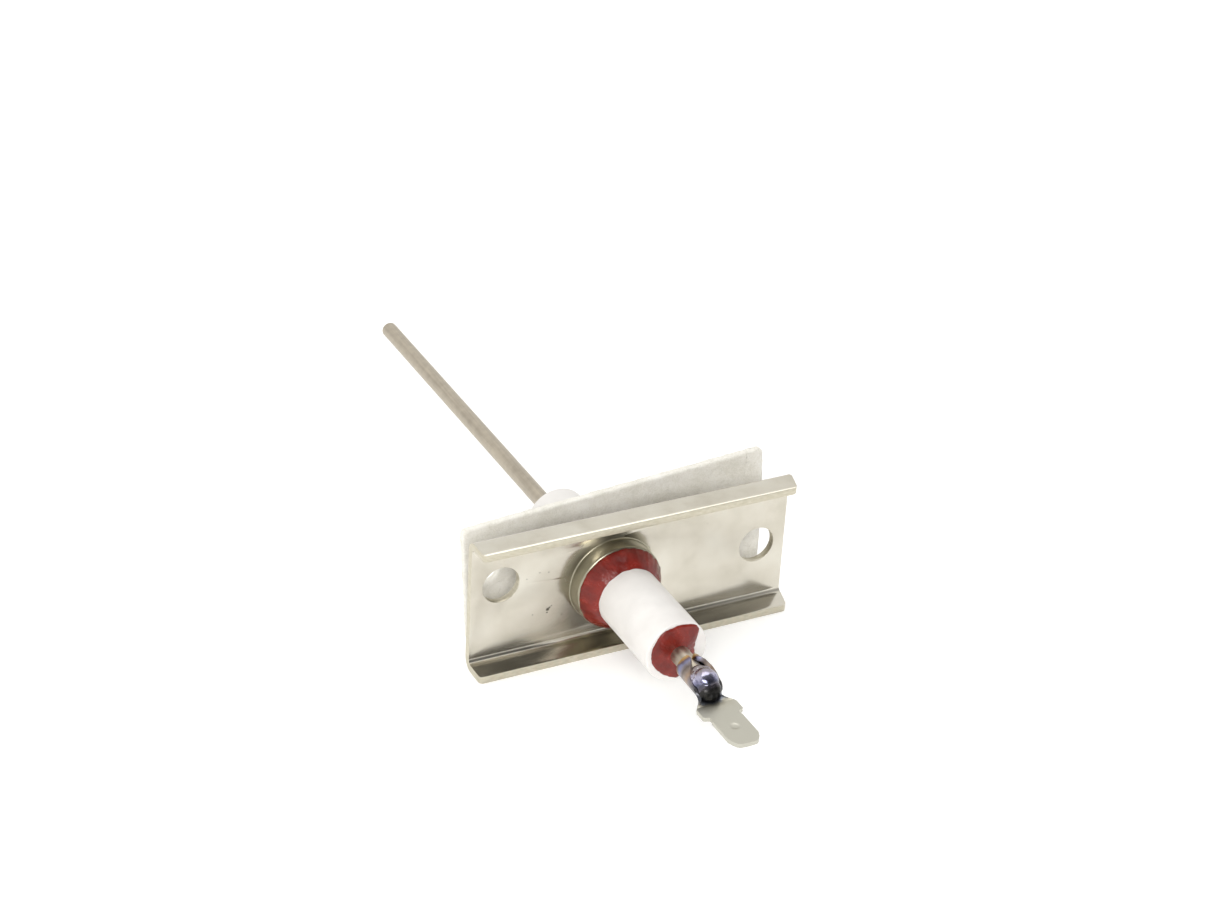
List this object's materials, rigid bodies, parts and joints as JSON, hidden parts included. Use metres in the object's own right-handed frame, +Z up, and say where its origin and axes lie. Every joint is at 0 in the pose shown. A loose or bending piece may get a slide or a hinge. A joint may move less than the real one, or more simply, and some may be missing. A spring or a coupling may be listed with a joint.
{
  "type": "ignition electrode",
  "caption": "Straight metal rod in a white ceramic tube, held by a ferrule in a steel channel bracket, with a blade terminal in front and a sliding fibre gasket behind.",
  "frame": {"origin": "on the electrode's axis, in the plane of the bracket's rear face, which seats on the burner door", "axes": "+Y along the electrode towards the rod's tip, +X along the bracket to the right as seen from the terminal, +Z up"},
  "size_m": [0.0683, 0.1661, 0.0305],
  "materials": {
    "stainless_sheet": "rolled stainless sheet, satin, sheared edges brighter",
    "turned_steel": "turned and spun steel, semi-bright",
    "alumina_ceramic": "fired white alumina, fine matt to satin",
    "red_sealant": "glossy dark red high-temperature silicone sealant",
    "refractory_cement": "dried refractory cement, grainy and matt",
    "rod_alloy": "drawn iron-chromium-aluminium alloy rod, dull grey",
    "plated_tab": "pressed nickel-plated steel, satin",
    "weld_metal": "heat-tinted weld, dark with blue and straw tints",
    "gasket_fibre": "pressed ceramic-fibre paper, off-white and matt"
  },
  "bodies": {
    "electrode": {"mounting_bracket": "stainless_sheet", "ferrule": "turned_steel", "ceramic_insulator": "alumina_ceramic", "ferrule_sealant": "red_sealant", "front_sealant_cap": "red_sealant", "rear_cement": "refractory_cement", "electrode_rod": "rod_alloy", "terminal": "plated_tab", "weld_bead": "weld_metal"},
    "gasket": {"fibre_gasket": "gasket_fibre"}
  },
  "joints": [
    {"name": "gasket_slide", "type": "slide", "parent": "electrode", "child": "gasket", "axis": [0, 1, 0], "range_m": [-0.0062, 0.015]}
  ]
}
